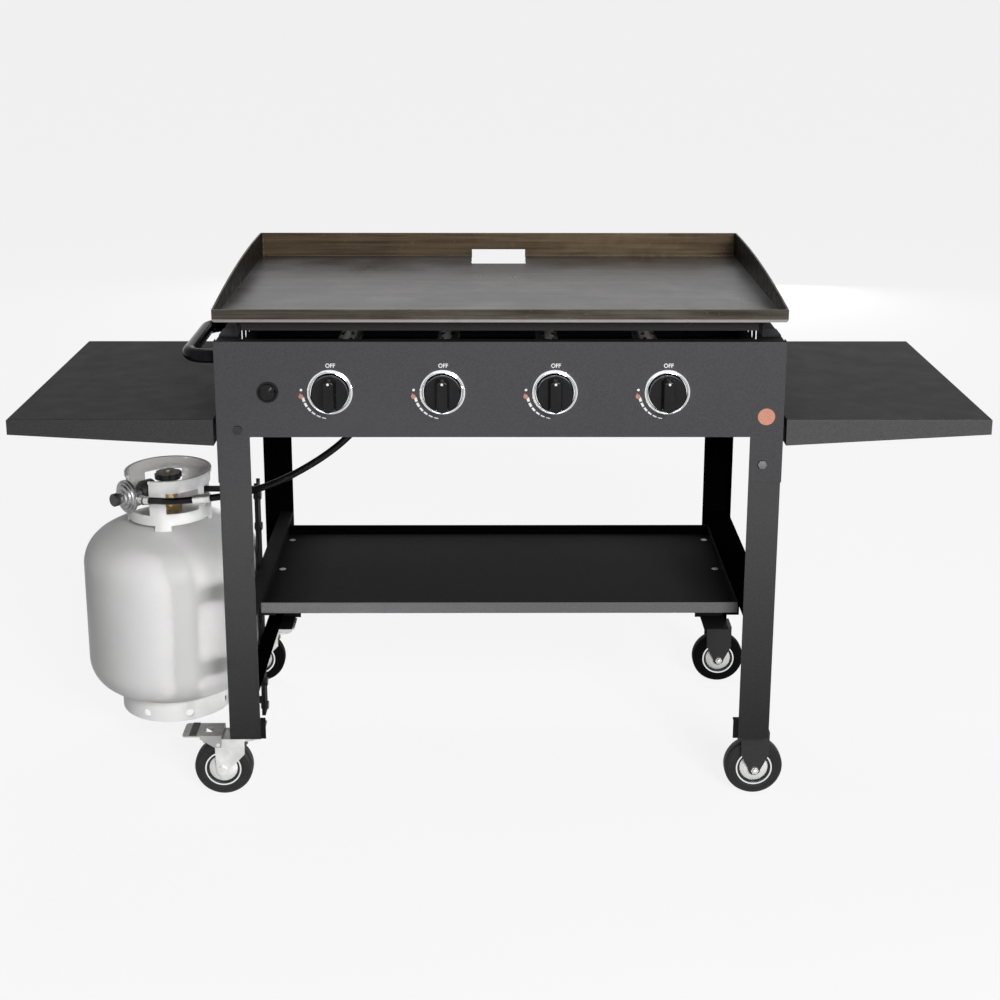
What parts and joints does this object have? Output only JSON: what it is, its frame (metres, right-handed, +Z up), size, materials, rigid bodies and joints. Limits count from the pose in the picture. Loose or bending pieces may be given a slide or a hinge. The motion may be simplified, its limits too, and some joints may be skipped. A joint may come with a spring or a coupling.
{
  "type": "outdoor gas griddle station",
  "caption": "Wheeled outdoor gas griddle: a steel cooking plate on a burner box with control knobs, side shelves, a lower tray, a push handle and a gas tank hung at the side.",
  "frame": {"origin": "centre of the bounding box in X and Y, on the floor under the wheels", "axes": "+Z up, +X to the right as the cook sees it from the front, +Y from the front panel to the back; the front faces -Y"},
  "size_m": [1.5874, 0.616, 0.8937],
  "materials": {
    "griddle_steel": "bare rolled steel, seasoned",
    "black_coat": "black powder coat",
    "panel_coat": "dark grey powder coat",
    "zinc": "zinc plated",
    "galvanised": "galvanised sheet",
    "burner_steel": "plain",
    "cast_aluminium": "cast",
    "chrome": "polished",
    "knob_plastic": "gloss black",
    "tank_paint": "pale grey enamel",
    "valve_brass": "machined",
    "black_plastic": "matte black",
    "hose_rubber": "matte black",
    "tyre_rubber": "matte black",
    "hub_grey": "moulded, pale grey"
  },
  "bodies": {
    "frame": {"burner_rails": "black_coat", "burner_tubes": "burner_steel", "caster_brackets": "black_coat", "frame_bolts": "zinc", "front_left_leg": "black_coat", "front_panel": "panel_coat", "front_right_leg": "black_coat", "gas_hose": "hose_rubber", "gas_manifold": "cast_aluminium", "gas_valves": "cast_aluminium", "grease_runners": "galvanised", "hose_fittings": "zinc", "igniter_housing": "knob_plastic", "knob_bezels": "chrome", "left_lower_rail": "black_coat", "left_side_panel": "black_coat", "left_upper_rail": "black_coat", "lower_shelf": "black_coat", "push_handle": "black_coat", "rear_left_leg": "black_coat", "rear_panel": "black_coat", "rear_right_leg": "black_coat", "regulator": "cast_aluminium", "right_rail": "black_coat", "right_side_panel": "black_coat", "rigid_forks": "black_coat", "swivel_plates": "zinc", "tank_collar": "tank_paint", "tank_foot_ring": "tank_paint", "tank_holder": "black_coat", "tank_shell": "tank_paint", "tank_valve": "valve_brass"},
    "griddle": {"griddle_top": "griddle_steel", "griddle_underframe": "black_coat"},
    "valve_stem_1": {"valve_stem_1": "valve_brass"},
    "knob_1": {"knob_1": "knob_plastic"},
    "valve_stem_2": {"valve_stem_2": "valve_brass"},
    "knob_2": {"knob_2": "knob_plastic"},
    "valve_stem_3": {"valve_stem_3": "valve_brass"},
    "knob_3": {"knob_3": "knob_plastic"},
    "valve_stem_4": {"valve_stem_4": "valve_brass"},
    "knob_4": {"knob_4": "knob_plastic"},
    "igniter_button": {"igniter_button": "knob_plastic"},
    "left_side_shelf": {"left_side_shelf": "black_coat"},
    "right_side_shelf": {"right_side_shelf": "black_coat"},
    "grease_cup": {"grease_cup": "galvanised"},
    "front_left_fork": {"front_left_fork": "zinc"},
    "front_left_wheel": {"front_left_tyre": "tyre_rubber", "front_left_hub": "hub_grey"},
    "front_left_brake": {"front_left_brake_pedal": "zinc"},
    "front_right_wheel": {"front_right_tyre": "tyre_rubber", "front_right_hub": "hub_grey"},
    "rear_left_fork": {"rear_left_fork": "zinc"},
    "rear_left_wheel": {"rear_left_tyre": "tyre_rubber", "rear_left_hub": "hub_grey"},
    "rear_left_brake": {"rear_left_brake_pedal": "zinc"},
    "rear_right_wheel": {"rear_right_tyre": "tyre_rubber", "rear_right_hub": "hub_grey"},
    "tank_handwheel": {"tank_handwheel": "black_plastic"},
    "coupling_nut": {"coupling_nut": "black_plastic"}
  },
  "joints": [
    {"name": "griddle_lift", "type": "slide", "parent": "frame", "child": "griddle", "axis": [0, 0, 1], "range_m": [0, 0.06]},
    {"name": "knob_1_push", "type": "slide", "parent": "frame", "child": "valve_stem_1", "axis": [0, 1, 0], "range_m": [0, 0.003], "stiffness_N_per_m": 800},
    {"name": "knob_1_turn", "type": "hinge", "parent": "valve_stem_1", "child": "knob_1", "pos_m": [-0.2725, -0.283, 0.7295], "axis": [0, -1, 0], "range_deg": [0, 180]},
    {"name": "knob_2_push", "type": "slide", "parent": "frame", "child": "valve_stem_2", "axis": [0, 1, 0], "range_m": [0, 0.003], "stiffness_N_per_m": 800},
    {"name": "knob_2_turn", "type": "hinge", "parent": "valve_stem_2", "child": "knob_2", "pos_m": [-0.0925, -0.283, 0.7295], "axis": [0, -1, 0], "range_deg": [0, 180]},
    {"name": "knob_3_push", "type": "slide", "parent": "frame", "child": "valve_stem_3", "axis": [0, 1, 0], "range_m": [0, 0.003], "stiffness_N_per_m": 800},
    {"name": "knob_3_turn", "type": "hinge", "parent": "valve_stem_3", "child": "knob_3", "pos_m": [0.0875, -0.283, 0.7295], "axis": [0, -1, 0], "range_deg": [0, 180]},
    {"name": "knob_4_push", "type": "slide", "parent": "frame", "child": "valve_stem_4", "axis": [0, 1, 0], "range_m": [0, 0.003], "stiffness_N_per_m": 800},
    {"name": "knob_4_turn", "type": "hinge", "parent": "valve_stem_4", "child": "knob_4", "pos_m": [0.2675, -0.283, 0.7295], "axis": [0, -1, 0], "range_deg": [0, 180]},
    {"name": "igniter_press", "type": "slide", "parent": "frame", "child": "igniter_button", "axis": [0, 1, 0], "range_m": [0, 0.005], "stiffness_N_per_m": 1000},
    {"name": "left_shelf_lift", "type": "slide", "parent": "frame", "child": "left_side_shelf", "axis": [0, 0, 1], "range_m": [0, 0.012]},
    {"name": "right_shelf_lift", "type": "slide", "parent": "frame", "child": "right_side_shelf", "axis": [0, 0, 1], "range_m": [0, 0.012]},
    {"name": "grease_cup_slide", "type": "slide", "parent": "frame", "child": "grease_cup", "axis": [0, 1, 0], "range_m": [0, 0.07]},
    {"name": "front_left_swivel", "type": "hinge", "parent": "frame", "child": "front_left_fork", "pos_m": [-0.43, -0.2295, 0.106], "axis": [0, 0, 1], "continuous": true},
    {"name": "front_left_wheel_spin", "type": "hinge", "parent": "front_left_fork", "child": "front_left_wheel", "pos_m": [-0.4745, -0.2295, 0.05], "axis": [0, 1, 0], "continuous": true},
    {"name": "front_left_brake_press", "type": "hinge", "parent": "front_left_fork", "child": "front_left_brake", "pos_m": [-0.48, -0.2295, 0.099], "axis": [0, -1, 0], "range_deg": [0, 12]},
    {"name": "front_right_wheel_spin", "type": "hinge", "parent": "frame", "child": "front_right_wheel", "pos_m": [0.438, -0.2295, 0.05], "axis": [0, 1, 0], "continuous": true},
    {"name": "rear_left_swivel", "type": "hinge", "parent": "frame", "child": "rear_left_fork", "pos_m": [-0.43, 0.202, 0.106], "axis": [0, 0, 1], "continuous": true},
    {"name": "rear_left_wheel_spin", "type": "hinge", "parent": "rear_left_fork", "child": "rear_left_wheel", "pos_m": [-0.4745, 0.202, 0.05], "axis": [0, 1, 0], "continuous": true},
    {"name": "rear_left_brake_press", "type": "hinge", "parent": "rear_left_fork", "child": "rear_left_brake", "pos_m": [-0.48, 0.202, 0.099], "axis": [0, -1, 0], "range_deg": [0, 12]},
    {"name": "rear_right_wheel_spin", "type": "hinge", "parent": "frame", "child": "rear_right_wheel", "pos_m": [0.438, 0.202, 0.05], "axis": [0, 1, 0], "continuous": true},
    {"name": "tank_valve_turn", "type": "hinge", "parent": "frame", "child": "tank_handwheel", "pos_m": [-0.593, -0.018, 0.504], "axis": [0, 0, 1], "range_deg": [0, 720]},
    {"name": "coupling_nut_turn", "type": "hinge", "parent": "frame", "child": "coupling_nut", "pos_m": [-0.62574, -0.0531, 0.486], "axis": [-0.682, -0.7314, 0], "continuous": true}
  ]
}
